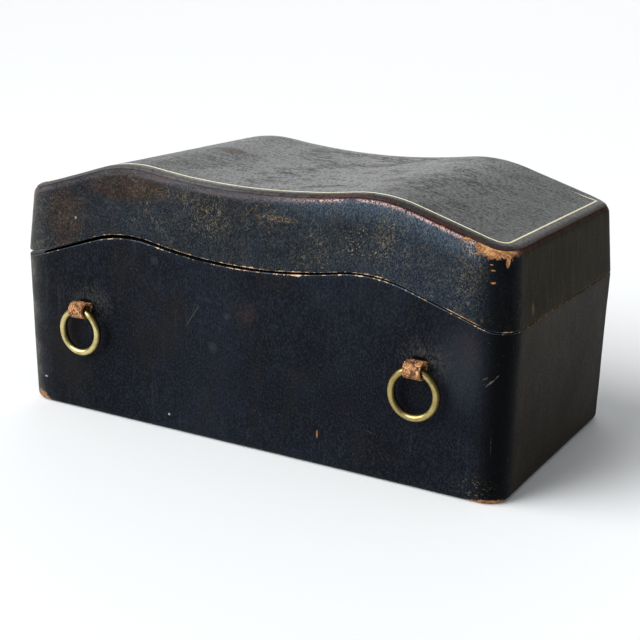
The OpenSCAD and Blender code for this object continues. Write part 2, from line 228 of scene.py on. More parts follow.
def start_finish(name, **constants):
    """A new material: the wire that nodes hang on, its place on the piece, its shader."""
    finish = bpy.data.materials.new(name)
    finish.use_nodes = True
    shader = finish.node_tree.nodes["Principled BSDF"]
    for socket, value in constants.items():
        shader.inputs[socket.replace("_", " ").title().replace("Ior", "IOR")].default_value = value
    root = Wire(finish.node_tree)
    place = root.node("ShaderNodeTexCoord", {}, {}, "Object")
    return finish, root, place, shader


def end_finish(root, shader, colour, roughness, height, depth, wax=None):
    """Connects colour, roughness, any coat of wax and a bump, its depth in metres."""
    bump = root.node("ShaderNodeBump", {}, {"Height": height, "Distance": depth, "Strength": 1.0})
    for name, wire in (("Base Color", colour), ("Roughness", roughness), ("Normal", bump),
                       ("Coat Weight", wax)):
        if wire is not None:
            root.tree.links.new(wire.socket, shader.inputs[name])


def cover(piece, finish):
    """Gives a piece a finish, in place of any that it has."""
    piece.data.materials.clear()
    piece.data.materials.append(finish)


def dress(names, finish):
    """Gives CAD nodes a finish."""
    for name in names:
        cover(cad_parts[name], finish)


bare_pine, root, place, shader = start_finish("bare_pine", specular_ior_level=0.25)
grain = place.shifted((18, 150, 150)).warped(3, 0.6).noise(1.0, 5, 0.6)
rings = place.shifted((4, 60, 60)).warped(2, 0.9).noise(1.0, 2, 0.4)
dust = place.noise(260, 4, 0.6)
pine = rings.rise(0.35, 0.7).mixed((176, 137, 92), (143, 101, 62))
pine = grain.rise(0.45, 0.7).mixed(pine, (118, 80, 48))
pine = (dust.rise(0.5, 0.75) * 0.4).mixed(pine, (88, 64, 44))
end_finish(root, shader, pine, 0.62 + grain * 0.2, grain + dust * 0.4, 0.00025)
dress(["base_bottom_board", "base_front_board", "base_back_board", "base_left_board",
       "base_right_board", "lid_top_board", "lid_front_board", "lid_back_board",
       "lid_left_board", "lid_right_board"], bare_pine)


# The body's hide. One piece of calf, dyed navy black, is glued round the four walls, its
# upper margin turned in over the waved rim and its lower one turned under the foot.
MM = 0.001
BOX_L, BOX_D, SEAM_H = 280 * MM, 149 * MM, 81.5 * MM
HALF_L, HALF_D = BOX_L / 2, BOX_D / 2
CORNER_R, FOOT_R, FOOT_LEAN = 12 * MM, 3.5 * MM, 1.1 * MM
HIDE_T, RIM_W, TURN_UNDER, FOLD_R = 1.2 * MM, 7.2 * MM, 9 * MM, 0.5 * MM
CREST_X, CREST_R, WAVE_FOOT_R = 66.5 * MM, 75 * MM, 30 * MM
# Each ring's side, its name and the height of the line that it swings about.
RING_X, RINGS = 96.6 * MM, ((-1, "left", 57.6 * MM), (1, "right", 60 * MM))
SLIT_HALF_W, SLIT_LOW, SLIT_HIGH = 4.4 * MM, 0.6 * MM, 3.4 * MM
HINGE_HALF_L, HINGE_FRONT, BASE_LEAF_H, LEAF_ROOM = 12 * MM, 66.3 * MM, 97.45 * MM, 9 * MM
# How far a cut reaches past the face that it opens.
PAST = 5 * MM
SEAM_WAVE = (16.8 * MM, 6.2 * MM, math.radians(18))
ALONG, ACROSS, ROWS = 220, 110, 34
SMOOTH_BELOW = math.radians(50)


def wave(x, shape):
    """Height at x of a double crest of (rise, dip, slope) above its level ends."""
    rise, dip, slope = shape
    x = abs(x)
    turn = 2 * math.atan(dip / CREST_X)
    dip_r = CREST_X / math.sin(turn) - CREST_R
    slope_x = CREST_X + CREST_R * math.sin(slope)
    slope_z = rise - CREST_R * (1 - math.cos(slope))
    run = WAVE_FOOT_R * math.tan(slope / 2)
    meet_x = slope_x + slope_z / math.tan(slope)
    if x <= dip_r * math.sin(turn):
        return rise - dip + dip_r - math.sqrt(dip_r ** 2 - x ** 2)
    if x <= slope_x:
        return rise - CREST_R + math.sqrt(CREST_R ** 2 - (x - CREST_X) ** 2)
    if x <= meet_x - run * math.cos(slope):
        return slope_z - (x - slope_x) * math.tan(slope)
    if x <= meet_x + run:
        return WAVE_FOOT_R - math.sqrt(WAVE_FOOT_R ** 2 - (meet_x + run - x) ** 2)
    return 0.0


def seam_z(x):
    return SEAM_H + wave(x, SEAM_WAVE)


def pick(kind, test):
    """In edit mode, selects the verts, edges or faces that pass the test, and no others."""
    bpy.ops.mesh.select_mode(type=kind)
    bpy.ops.mesh.select_all(action="DESELECT")
    mesh = bmesh.from_edit_mesh(bpy.context.object.data)
    for item in {"VERT": mesh.verts, "EDGE": mesh.edges, "FACE": mesh.faces}[kind]:
        if test(item):
            item.select_set(True)
    mesh.select_flush_mode()
    bmesh.update_edit_mesh(bpy.context.object.data)


def span(edge):
    """How far an edge runs along X, Y and Z."""
    return [abs(a - b) for a, b in zip(edge.verts[0].co, edge.verts[1].co)]


def near(value, target, reach=1e-5):
    return abs(value - target) < reach


def stretched(name, sizes):
    """Names the primitive just added, stretches it to its sizes and opens it in edit mode."""
    piece = bpy.context.object
    piece.name = piece.data.name = name
    piece.scale = sizes
    bpy.ops.object.transform_apply(location=True, rotation=True, scale=True)
    bpy.ops.object.mode_set(mode="EDIT")
    return piece


def rounded_block(name, length, depth, low, high, corner, corner_steps, along):
    """A block with rounded upright corners, its long sides cut into strips, in edit mode."""
    bpy.ops.object.select_all(action="DESELECT")
    bpy.ops.mesh.primitive_cube_add(size=1, location=(0, 0, (low + high) / 2))
    block = stretched(name, (length, depth, high - low))
    pick("EDGE", lambda e: span(e)[2] > 1e-4)
    bpy.ops.mesh.bevel(offset=corner, segments=corner_steps, affect="EDGES")
    pick("EDGE", lambda e: span(e)[0] > length / 2)
    bpy.ops.mesh.subdivide(number_cuts=along)
    return block


def lift(test, height):
    """Raises the verts that pass the test by a height that depends on x, by stations."""
    stations = {}
    for vert in bmesh.from_edit_mesh(bpy.context.object.data).verts:
        if test(vert):
            stations.setdefault(round(height(vert.co.x), 6), set()).add(vert.index)
    for up, members in stations.items():
        if up:
            pick("VERT", lambda v: v.index in members)
            bpy.ops.transform.translate(value=(0, 0, up))


def ring_edges(level):
    """Picks the edges round a block at a level, where its wall meets its end face."""
    pick("EDGE", lambda e: near(e.verts[0].co.z, level) and near(e.verts[1].co.z, level)
         and len({abs(f.normal.z) > 0.7 for f in e.link_faces}) == 2)


def end_margin(up, width):
    """Insets the top or bottom face by a width and takes out what is inside."""
    pick("FACE", lambda f: f.normal.z * up > 0.999)
    bpy.ops.mesh.inset(thickness=width)
    bpy.ops.mesh.delete(type="FACE")


def even_out(rows, across, tall):
    """Cuts a block's upright edges into rows, then its ends into strips across."""
    pick("EDGE", lambda e: span(e)[2] > tall)
    bpy.ops.mesh.subdivide(number_cuts=rows)
    pick("EDGE", lambda e: span(e)[1] > BOX_D / 3)
    bpy.ops.mesh.subdivide(number_cuts=across)
    bpy.ops.object.mode_set(mode="OBJECT")


def finish_with(piece, kind, **settings):
    """Adds a modifier to a piece and applies it."""
    bpy.context.view_layer.objects.active = piece
    made = piece.modifiers.new(kind.lower(), kind)
    for name, value in settings.items():
        setattr(made, name, value)
    bpy.ops.object.modifier_apply(modifier=made.name)


def cut_away(piece, low, high):
    """Cuts a square-cornered recess out of a closed piece."""
    bpy.ops.object.select_all(action="DESELECT")
    bpy.ops.mesh.primitive_cube_add(size=1, location=(Vector(low) + Vector(high)) / 2)
    blade = bpy.context.object
    blade.scale = Vector(high) - Vector(low)
    bpy.ops.object.transform_apply(location=True, rotation=False, scale=True)
    finish_with(piece, "BOOLEAN", operation="DIFFERENCE", solver="FAST", object=blade)
    bpy.data.objects.remove(blade)


def soft_texture(name, size, depth=2):
    """Cloudy noise that moves a surface; size in metres."""
    clouds = bpy.data.textures.new(name, "CLOUDS")
    clouds.noise_scale = size
    clouds.noise_depth = depth
    return clouds


def keep_measure(piece, name, measure):
    """Stores a measure of every vert, in millimetres, for the material."""
    values = [measure(*vert.co) / MM for vert in piece.data.vertices]
    piece.data.attributes.new(name, "FLOAT", "POINT").data.foreach_set("value", values)


def inside_outline(x, y, half_l, half_d, corner):
    """How far inside a rounded rectangle a point is."""
    dx, dy = abs(x) - half_l + corner, abs(y) - half_d + corner
    return corner - math.hypot(max(dx, 0), max(dy, 0)) - min(max(dx, dy), 0)


uneven_wall = soft_texture("uneven_wall", 0.045)
pulled_skin = soft_texture("pulled_skin", 0.009)


def surface_life(piece, wall, skin):
    """The slight unevenness that old glued leather has, broad and fine."""
    finish_with(piece, "DISPLACE", texture=uneven_wall, texture_coords="LOCAL",
                strength=wall, mid_level=0.5)
    finish_with(piece, "DISPLACE", texture=pulled_skin, texture_coords="LOCAL",
                strength=skin, mid_level=0.5)


body_hide = rounded_block("body_hide", BOX_L, BOX_D, 0, SEAM_H, CORNER_R, 10, ALONG)
pick("VERT", lambda v: near(v.co.z, 0))
bpy.ops.transform.resize(value=(1 - 2 * FOOT_LEAN / BOX_L, 1 - 2 * FOOT_LEAN / BOX_D, 1),
                         center_override=(0, 0, 0))
ring_edges(0)
bpy.ops.mesh.bevel(offset=FOOT_R, segments=5, affect="EDGES")
end_margin(-1, TURN_UNDER - FOOT_R)
ring_edges(SEAM_H)
bpy.ops.mesh.bevel(offset=FOLD_R, segments=2, affect="EDGES")
end_margin(1, RIM_W - FOLD_R)
lift(lambda v: v.co.z > SEAM_H - 2 * MM, lambda x: wave(x, SEAM_WAVE))
even_out(ROWS, ACROSS, SEAM_H / 2)
surface_life(body_hide, 0.35 * MM, 0.16 * MM)
finish_with(body_hide, "SOLIDIFY", thickness=HIDE_T, offset=-1, use_even_offset=True)
for side, word, axis_h in RINGS:
    cut_away(body_hide, (side * RING_X - SLIT_HALF_W, -HALF_D - PAST, axis_h + SLIT_LOW),
             (side * RING_X + SLIT_HALF_W, -HALF_D + PAST, axis_h + SLIT_HIGH))
    cut_away(body_hide, (side * CREST_X - HINGE_HALF_L, HINGE_FRONT, BASE_LEAF_H),
             (side * CREST_X + HINGE_HALF_L, HALF_D + PAST, BASE_LEAF_H + LEAF_ROOM))
bpy.ops.object.select_all(action="DESELECT")
body_hide.select_set(True)
bpy.ops.object.shade_smooth_by_angle(angle=SMOOTH_BELOW)
keep_measure(body_hide, "from_rim", lambda x, y, z: max(
    seam_z(x) - z, inside_outline(x, y, HALF_L, HALF_D, CORNER_R)))
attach(body_hide, "base")
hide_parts("base_side_leather")

# The last of these colours is the grey-blue of a painted highlight along the folded rims.
TAN, CREAM, FOLD_GLINT = (170, 108, 60), (206, 182, 146), (92, 104, 116)
dyed_calf, root, place, shader = start_finish("dyed_calf", specular_ior_level=0.04,
                                              coat_roughness=0.34)
x, y, z = place.axes()
rim = root.stored("from_rim")
clouds = place.noise(16, 5, 0.55)
mottle = place.noise(85, 4, 0.62)
threads = place.shifted((420, 420, 26)).warped(1.2, 0.5).noise(1.0, 3, 0.5)
stains = place.shifted((26, 26, 14), (3, 5, 1)).noise(1.0, 4, 0.6, 0.4)
grain = place.noise(1000, 3, 0.6)
fine = place.shifted((1, 1, 0.6)).noise(1300, 3, 0.65)
pores = place.warped(500, 0.0007).cells(950)
dust = place.noise(1150, 2, 0.5)
where = place.noise(40, 3, 0.6)
ragged = place.warped(260, 0.004).noise(420, 4, 0.7)
patches = place.noise(60, 2, 0.5)
dye = x.rise(-0.09, -0.02).mixed((7, 10, 16), (19, 23, 32))
hide = clouds.rise(0.35, 0.68).mixed(dye, (11, 13, 18))
hide = (mottle.rise(0.45, 0.7) * 0.3).mixed(hide, (22, 28, 40))
hide = (fine.rise(0.50, 0.66) * 0.45).mixed(hide, (34, 40, 49))
hide = (fine.rise(0.48, 0.36) * 0.45).mixed(hide, (4, 5, 7))
hide = (stains.rise(0.52, 0.74) * 0.7).mixed(hide, (27, 24, 23))
handled = place.mark((0.1160, -HALF_D, 0.0640), (0.020, 0.01, 0.030), 0.95)
hide = (handled * 0.45).mixed(hide, (46, 50, 56))
hide = (threads.rise(0.58, 0.8) * mottle * 0.7).mixed(hide, (46, 50, 56))
ends = x.unsigned().rise(0.130, 0.137) * y.unsigned().rise(0.071, 0.056)
hide = ends.mixed(hide, clouds.rise(0.4, 0.62).mixed((40, 34, 25), (31, 27, 20)))
for spot_y, spot_z in ((-0.0646, 0.0733), (-0.0188, 0.0413)):
    pit = place.mark((0.1395, spot_y, spot_z), (0.004, 0.0012, 0.0022), 0.6)
    hide = pit.mixed(hide, (6, 6, 5))
# The rounded right front corner is painted near black: painted shade where the corner turns away
# from the light.
painted_corner_shade = x.rise(0.121, 0.1345) * (1.0 - ends)
hide = painted_corner_shade.mixed(hide, (5, 6, 8))
hide = (dust.rise(0.70, 0.76) * where.rise(0.45, 0.7) * 0.6).mixed(hide, (104, 110, 116))
for side, word, axis_h in RINGS:
    beside = (side * RING_X + 0.004, -HALF_D, axis_h + 0.003)
    rubbed = place.mark(beside, (0.017, 0.01, 0.014), 0.9)
    hide = (rubbed * (mottle * 0.3 + fine * 0.7).rise(0.40, 0.62) * 0.6).mixed(hide, (70, 68, 64))
    shade = place.mark((side * RING_X, -HALF_D, axis_h + 0.0041), (0.0060, 0.004, 0.0015), 0.6)
    hide = shade.mixed(hide, (3, 3, 3))
for spot_x, spot_z, size in ((-0.0510, 0.0893, 0.0035), (-0.0079, 0.0673, 0.0030),
                             (-0.0162, 0.0499, 0.0040)):
    smudge = place.mark((spot_x, -HALF_D, spot_z), (size, 0.01, size), 0.9) * (fine * 0.6 + 0.2)
    hide = smudge.mixed(hide, (48, 50, 52))
smear = place.mark((0.1201, -HALF_D, 0.0700), (0.009, 0.01, 0.016), 0.95)
smear = smear + place.mark((0.0014, -HALF_D, 0.0705), (0.013, 0.01, 0.009), 0.9)
hide = (smear * stains.rise(0.35, 0.6) * 0.35).mixed(hide, (56, 40, 34))
scored = place.scored((-0.0239, 0.0709), (-0.0325, 0.0581), 0.00028) * 0.28
scored = scored + place.scored((0.1275, 0.0597), (0.1300, 0.0612), 0.00020) * 0.5
for start, end, width, broken, strength in (
        ((0.1290, 0.0565), (0.1318, 0.0600), 0.00026, (0.35, 0.50), 0.8),
        ((0.1302, 0.0572), (0.1345, 0.0628), 0.00022, (0.40, 0.55), 0.8),
        ((0.1325, 0.0380), (0.1327, 0.0230), 0.00020, (0.40, 0.60), 0.3),
        ((0.0690, 0.0246), (0.0760, 0.0226), 0.00020, (0.40, 0.60), 0.3)):
    scored = scored + place.scored(start, end, width) * ragged.rise(*broken) * strength
hide = (scored * y.rise(-0.05, -0.06)).mixed(hide, (128, 118, 96))
nicks = place.mark((-0.1262, -HALF_D, 0.0146), (0.0013, 0.003, 0.0007), 0.5)
nicks = nicks + place.mark((-0.0438, -HALF_D, 0.0090), (0.0008, 0.003, 0.0008), 0.3)
hide = (nicks * 0.8).mixed(hide, (150, 160, 170))
tan_nick = place.mark((0.0440, -HALF_D, 0.0165), (0.0006, 0.003, 0.0026), 0.4)
hide = tan_nick.mixed(hide, (150, 92, 56))
busy = x.rise(-0.07, -0.045) * x.rise(0.09, 0.07)
# A broken grey-blue line along the folded rim is a painted highlight, warmer on the ends.
painted_rim_glint = (1.0 - rim.rise(0.15, 0.5)) * (patches + ragged * 0.5).rise(0.55, 0.8)
hide = (painted_rim_glint * 0.75).mixed(hide, ends.mixed(FOLD_GLINT, (84, 68, 42)))
deep = (ragged - 0.5) * 2.2 + patches * 0.8 + busy * 0.10
chips = (deep - rim * 0.8).rise(0.30, 0.46) * (1.0 - ends * 0.7)
hide = chips.mixed(hide, ragged.rise(0.42, 0.62).mixed(TAN, CREAM))
foot = place.length_from((-0.1320, -0.072, 0.0005), (0.0080, 0.0085, 0.0058))
for spot, sizes in (((0.1335, -0.072, -0.001), (0.014, 0.011, 0.0038)),
                    ((0.1385, 0.073, 0.0), (0.006, 0.006, 0.003))):
    foot = root.math("MINIMUM", foot, place.length_from(spot, sizes))
scrubbed = (foot + ragged * 0.9).rise(1.5, 1.25)
bare_calf = (ragged * 0.5 + fine * 0.5).rise(0.40, 0.58).mixed((92, 62, 44), (178, 132, 92))
hide = scrubbed.mixed(hide, bare_calf)
# The left front corner is painted paler: partly worn hide, partly a painted reflection of the light
# grazing it.
left_corner = x.rise(-0.1262, -0.1335) * y.rise(-0.060, -0.068)
pale_rub_and_glint = mottle.rise(0.4, 0.6).mixed((46, 43, 37), (78, 72, 60))
hide = (left_corner * (0.2 + ragged.rise(0.42, 0.58) * 0.6)).mixed(hide, pale_rub_and_glint)
strokes = place.shifted((620, 620, 1300), (4, 1, 2)).warped(2, 0.8).noise(1.0, 3, 0.7)
olive = place.mark((0.125, -HALF_D, 0.006), (0.019, 0.012, 0.011), 0.9) * where.rise(0.3, 0.5)
hide = (olive * strokes.rise(0.58, 0.68) * 0.75).mixed(hide, (118, 108, 80))
wax = (0.015 + fine.rise(0.44, 0.62) * (0.02 + mottle * 0.12)) * (1.0 - painted_corner_shade)
wax = wax + x.rise(-0.118, -0.134) * y.rise(-0.050, -0.068) * (0.1 + mottle * 0.5)
end_finish(root, shader, hide, 0.44 + grain * 0.14 + clouds * 0.12 + chips * 0.3,
           grain * 0.8 + pores * 0.4 + threads * 0.3 + mottle * 0.8 - chips * 0.6, 0.0004, wax)
cover(body_hide, dyed_calf)


# The bottom leather. A plain sheet of the same calf fills the window that the turned-under
# margin of the body's hide leaves. The box stands on it. It is the model's own solid.
dress(["base_bottom_leather"], dyed_calf)


# The lid's hide. A second strip of the calf goes round the lid's leaning walls, turned in
# over its rim below and over the rolled top edge above, where the top sheet covers it.
LID_END_H, LID_LEAN, ROLL_R, TOP_DROP = 118.5 * MM, 2.9 * MM, 5 * MM, 1.6 * MM
GAP_LEFT, GAP_RIGHT, LID_LEAF_H = 2.2 * MM, 0.4 * MM, 100.45 * MM
TOP_WAVE = (16.3 * MM, 4.7 * MM, math.radians(17))


def gap(x):
    return GAP_RIGHT + (GAP_LEFT - GAP_RIGHT) * (HALF_L - x) / BOX_L


def top_z(x):
    return LID_END_H + wave(x, TOP_WAVE)


lid_hide = rounded_block("lid_hide", BOX_L, BOX_D, SEAM_H, LID_END_H, CORNER_R, 10, ALONG)
pick("VERT", lambda v: near(v.co.z, LID_END_H))
bpy.ops.transform.resize(value=(1 - 2 * LID_LEAN / BOX_L, 1 - 2 * LID_LEAN / BOX_D, 1),
                         center_override=(0, 0, LID_END_H))
ring_edges(LID_END_H)
bpy.ops.mesh.bevel(offset=ROLL_R, segments=10, affect="EDGES")
pick("FACE", lambda f: f.calc_center_median().z > LID_END_H - TOP_DROP + 0.1 * MM)
bpy.ops.mesh.delete(type="FACE")
ring_edges(SEAM_H)
bpy.ops.mesh.bevel(offset=FOLD_R, segments=2, affect="EDGES")
end_margin(-1, RIM_W - FOLD_R)
lift(lambda v: v.co.z < SEAM_H + 2 * MM, lambda x: wave(x, SEAM_WAVE) + gap(x))
lift(lambda v: v.co.z > LID_END_H - ROLL_R - 1 * MM, lambda x: wave(x, TOP_WAVE))
even_out(16, ACROSS, 20 * MM)
surface_life(lid_hide, 0.3 * MM, 0.16 * MM)
finish_with(lid_hide, "SOLIDIFY", thickness=HIDE_T, offset=-1, use_even_offset=True)
for side in (-1, 1):
    recess_half_l = HINGE_HALF_L + 0.3 * MM
    cut_away(lid_hide, (side * CREST_X - recess_half_l, HINGE_FRONT, LID_LEAF_H - LEAF_ROOM),
             (side * CREST_X + recess_half_l, HALF_D + PAST, LID_LEAF_H))
bpy.ops.object.select_all(action="DESELECT")
lid_hide.select_set(True)
bpy.ops.object.shade_smooth_by_angle(angle=SMOOTH_BELOW)
keep_measure(lid_hide, "from_rim", lambda x, y, z: max(
    z - seam_z(x) - gap(x), inside_outline(x, y, HALF_L, HALF_D, CORNER_R)))
keep_measure(lid_hide, "from_top", lambda x, y, z: top_z(x) - z)
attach(lid_hide, "lid")
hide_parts("lid_side_leather")

crackled_calf, root, place, shader = start_finish("crackled_calf", specular_ior_level=0.03,
                                                  coat_roughness=0.30)
x, y, z = place.axes()
rim = root.stored("from_rim")
top = root.stored("from_top")
clouds = place.noise(18, 5, 0.55)
mottle = place.noise(110, 4, 0.62)
where = place.shifted((1, 1, 0.7), (2, 1, 0)).noise(48, 3, 0.6)
grain = place.noise(1000, 3, 0.6)
fine = place.shifted((1, 1, 0.7)).noise(1750, 3, 0.65)
pebbles = place.warped(500, 0.0007).cells(800)
ragged = place.warped(260, 0.004).noise(420, 4, 0.7)
patches = place.noise(55, 2, 0.5)
wrinkles = (place.shifted((330, 330, 620)).noise(1.0, 3, 0.6, 1.0) - 0.5).line(0.035)
squiggles = place.warped(300, 0.002).shifted((560, 560, 440)).noise(1.0, 2, 0.5, 0.6)
squiggles = (squiggles - 0.5).line(0.05)
drawn = place.shifted((24, 260, 420), (0, 0, 3)).noise(1.0, 4, 0.6)
threads = place.shifted((420, 420, 26)).warped(1.2, 0.5).noise(1.0, 3, 0.5)
ends = x.unsigned().rise(0.128, 0.135) * y.unsigned().rise(0.070, 0.057)
left = x.rise(-0.03, -0.095)
right = x.rise(0.045, 0.10)
hide = clouds.rise(0.35, 0.65).mixed((24, 31, 40), (18, 22, 28))
warm = place.mark((-0.1100, -0.0728, 0.1030), (0.021, 0.01, 0.024), 0.95) * (0.45 + mottle * 0.5)
warm = warm + place.mark((-0.0680, -0.0728, 0.1255), (0.036, 0.01, 0.012), 0.8)
warm = (warm + left * 0.25 + clouds * 0.3 - 0.15).rise(0.1, 0.9)
hide = warm.mixed(hide, mottle.rise(0.4, 0.62).mixed((36, 28, 26), (54, 37, 31)))
hide = (right * 0.7).mixed(hide, (24, 34, 46))
navy = place.mark((0.022, -0.0735, 0.1050), (0.034, 0.01, 0.020), 0.9)
hide = (navy * 0.7).mixed(hide, (14, 21, 30))
hide = (mottle.rise(0.48, 0.7) * 0.2).mixed(hide, (48, 56, 68))
hide = (fine.rise(0.51, 0.66) * 0.42).mixed(hide, warm.mixed((64, 72, 80), (72, 58, 52)))
hide = (fine.rise(0.49, 0.36) * (0.55 - left * 0.2)).mixed(hide, (7, 9, 11))
hide = (wrinkles * left * where.rise(0.35, 0.6) * 0.6).mixed(hide, (22, 17, 16))
thin = squiggles * (0.25 + where.rise(0.42, 0.58) * 0.75) * (1.0 - left * 0.3)
thin = thin * (1.0 - y.rise(-0.02, 0.05) * 0.5)
crackle = patches.rise(0.4, 0.6).mixed((100, 106, 100), (128, 114, 88))
hide = (thin * (0.55 - navy * 0.35)).mixed(hide, crackle)
cracks = place.mark((0.0190, -0.0735, 0.1190), (0.016, 0.01, 0.0022), 0.6) * wrinkles
cracks = cracks + place.mark((-0.042, -0.0725, 0.1235), (0.026, 0.01, 0.006), 0.8) * wrinkles * 0.7
hide = (cracks * 0.6).rise(0, 1).mixed(hide, (176, 146, 104))
cluster = place.mark((-0.0208, -0.0730, 0.1145), (0.018, 0.01, 0.014), 0.9)
cluster = cluster + place.mark((0.066, -0.0735, 0.1130), (0.026, 0.01, 0.014), 0.9)
cluster = cluster + place.mark((0.115, -0.0735, 0.1080), (0.022, 0.01, 0.012), 0.9) * 0.7
specks = place.noise(1000, 2, 0.6).rise(0.60, 0.68) * (cluster * 0.75 + where.rise(0.6, 0.7) * 0.35)
hide = specks.rise(0, 1).mixed(hide, patches.rise(0.4, 0.6).mixed((176, 152, 112), (132, 118, 84)))
pale_nick = place.mark((-0.1019, -0.0730, 0.1052), (0.0009, 0.004, 0.0008), 0.5)
hide = (pale_nick * 0.8).mixed(hide, (176, 170, 150))
olive = clouds.rise(0.4, 0.62).mixed((35, 29, 14), (27, 22, 10))
hide = ends.mixed(hide, x.rise(-0.05, 0.05).mixed((29, 27, 22), olive))
streaks = threads.rise(0.50, 0.68) * ends
hide = (streaks * (0.25 + x.rise(-0.05, 0.05) * 0.25)).mixed(hide, (58, 50, 30))
tan_smudge = place.mark((0.139, -0.049, 0.0880), (0.004, 0.0024, 0.0045), 0.9)
hide = (tan_smudge * 0.5).mixed(hide, (128, 100, 60))
# The rounded right front corner is painted near black: painted shade where the corner turns away
# from the light.
painted_corner_shade = x.rise(0.114, 0.1315) * (1.0 - ends)
hide = (painted_corner_shade * 0.92).mixed(hide, (7, 9, 12))
# bright marks the right part of the lid front, where the roll is painted as lit.
bright = x.rise(0.005, 0.06) * (1.0 - ends)
dull_rub = top.rise(6.0, 2.4) * (1.0 - bright) * (1.0 - ends)
dull_rub = dull_rub * (drawn * 0.6 + fine * 0.4).rise(0.34, 0.54)
hide = (dull_rub * 0.75).mixed(hide, drawn.rise(0.52, 0.64).mixed((80, 78, 84), (90, 76, 76)))
end_rub = top.rise(3.4, 2.4) * ends * x.rise(0, 0.05) * ragged.rise(0.42, 0.56)
hide = (end_rub * 0.8).mixed(hide, (76, 40, 32))
# Just below the top sheet's edge the roll is painted pink and white: partly worn hide, partly a
# painted highlight, strongest at the right.
pink_wear_and_highlight = top.rise(3.9, 2.5) * bright * (fine * 0.4 + mottle * 0.3 + where * 0.3).rise(0.41, 0.53)
hide = pink_wear_and_highlight.mixed(hide, fine.rise(0.44, 0.58).mixed((124, 84, 84), (206, 180, 174)))
# A bluish glow running down from the rolled edge at the right is a painted sheen, the roll's
# reflection of the light.
painted_arris_sheen = top.rise(15.0, 2.5) * bright * (0.25 + fine.rise(0.44, 0.60) * 0.75) * x.rise(0.128, 0.118)
hide = (painted_arris_sheen * 0.5 * (1.0 - pink_wear_and_highlight)).mixed(hide, (96, 112, 130))
# A dark red line just under the top sheet's edge is a painted shadow cast by its lip.
hide = (top.rise(2.4, 1.7) * (0.2 + bright * 0.8)).mixed(hide, (54, 24, 22))
bald = place.length_from((0.1300, -0.0690, 0.1184), (0.0118, 0.012, 0.0052))
bald = (bald + ragged * 1.5).rise(1.72, 1.5)
drip = place.length_from((0.1340, -0.0690, 0.1135), (0.0010, 0.006, 0.0040))
bald = bald + (drip + ragged * 0.8).rise(1.25, 1.05)
for spot_x, spot_z, size in ((0.1155, 0.1212, 0.0020), (0.1030, 0.1250, 0.0010),
                             (0.1290, 0.1036, 0.0009), (0.1287, 0.1090, 0.0006),
                             (0.1278, 0.1115, 0.0005)):
    flake = place.length_from((spot_x, -0.0725, spot_z), (size * 1.9, 0.006, size * 0.7))
    bald = bald + (flake + ragged * 2.4).rise(2.0, 1.75)
bald = bald.rise(0, 1)
# Cream specks beside the bald patch are painted highlights.
cream_glint_specks = place.mark((0.1215, -0.0700, 0.1190), (0.011, 0.010, 0.008), 0.9) * fine.rise(0.52, 0.60)
hide = (cream_glint_specks * 0.85).mixed(hide, (196, 178, 158))
star = place.length_from((0.0425, -0.0725, 0.1297), (0.0016, 0.006, 0.0007))
hide = (star + ragged * 2.4).rise(2.0, 1.75).mixed(hide, (214, 184, 136))
bare_calf = (ragged * 0.6 + grain * 0.4).rise(0.42, 0.6).mixed((138, 88, 52), (204, 156, 108))
hide = bald.mixed(hide, bare_calf)
busy = x.rise(-0.075, -0.05) * x.rise(0.085, 0.065)
deep = (ragged - 0.5) * 2.0 + patches * 0.8 + busy * 0.08
frayed = (deep - rim * 0.8).rise(0.20, 0.36)
band = x.rise(0.106, 0.111) * x.rise(0.1255, 0.1215)
frayed = root.math("MAXIMUM", frayed, (1.0 - rim.rise(0.3, 0.8)) * band * (1.0 - ends))
frayed = frayed * (1.0 - x.rise(0.080, 0.09) * x.rise(0.107, 0.1)) * (1.0 - ends * 0.8)
# A broken line along the lid's folded rim is a painted highlight, grey-blue on the walls and warmer
# on the ends.
painted_lid_rim_glint = (1.0 - rim.rise(0.12, 0.42)) * (patches + ragged * 0.4).rise(0.45, 0.7)
hide = (painted_lid_rim_glint * 0.8).mixed(hide, ends.mixed(FOLD_GLINT, (116, 92, 52)))
hide = frayed.mixed(hide, ragged.rise(0.42, 0.62).mixed(TAN, CREAM))
# The left front corner is painted paler: partly worn hide, partly a painted reflection of the light
# grazing it, with a pinker painted highlight near the top.
left_corner = x.rise(-0.1240, -0.1320) * y.rise(-0.057, -0.066)
pale_rub_and_glint = mottle.rise(0.4, 0.6).mixed((52, 50, 44), (84, 80, 66))
pale_rub_and_glint = z.rise(0.109, 0.114).mixed(pale_rub_and_glint, (112, 90, 76))
hide = (left_corner * (0.2 + ragged.rise(0.42, 0.58) * 0.6)).mixed(hide, pale_rub_and_glint)
wax = (0.06 + fine.rise(0.42, 0.6) * (0.05 + mottle * 0.12 + right * 0.10))
wax = wax * (1.0 - ends) * (1.0 - painted_corner_shade) * (1.0 - bald)
wax = wax + x.rise(-0.118, -0.133) * y.rise(-0.050, -0.066) * (0.15 + mottle * 0.5)
end_finish(root, shader, hide, 0.42 + grain * 0.14 + clouds * 0.12 + frayed * 0.3 + bald * 0.3,
           grain * 0.8 + mottle * 0.8 - pebbles * 0.4 - thin * 0.5 - wrinkles * left * 0.7
           - bald * 0.6, 0.00055, wax)
cover(lid_hide, crackled_calf)


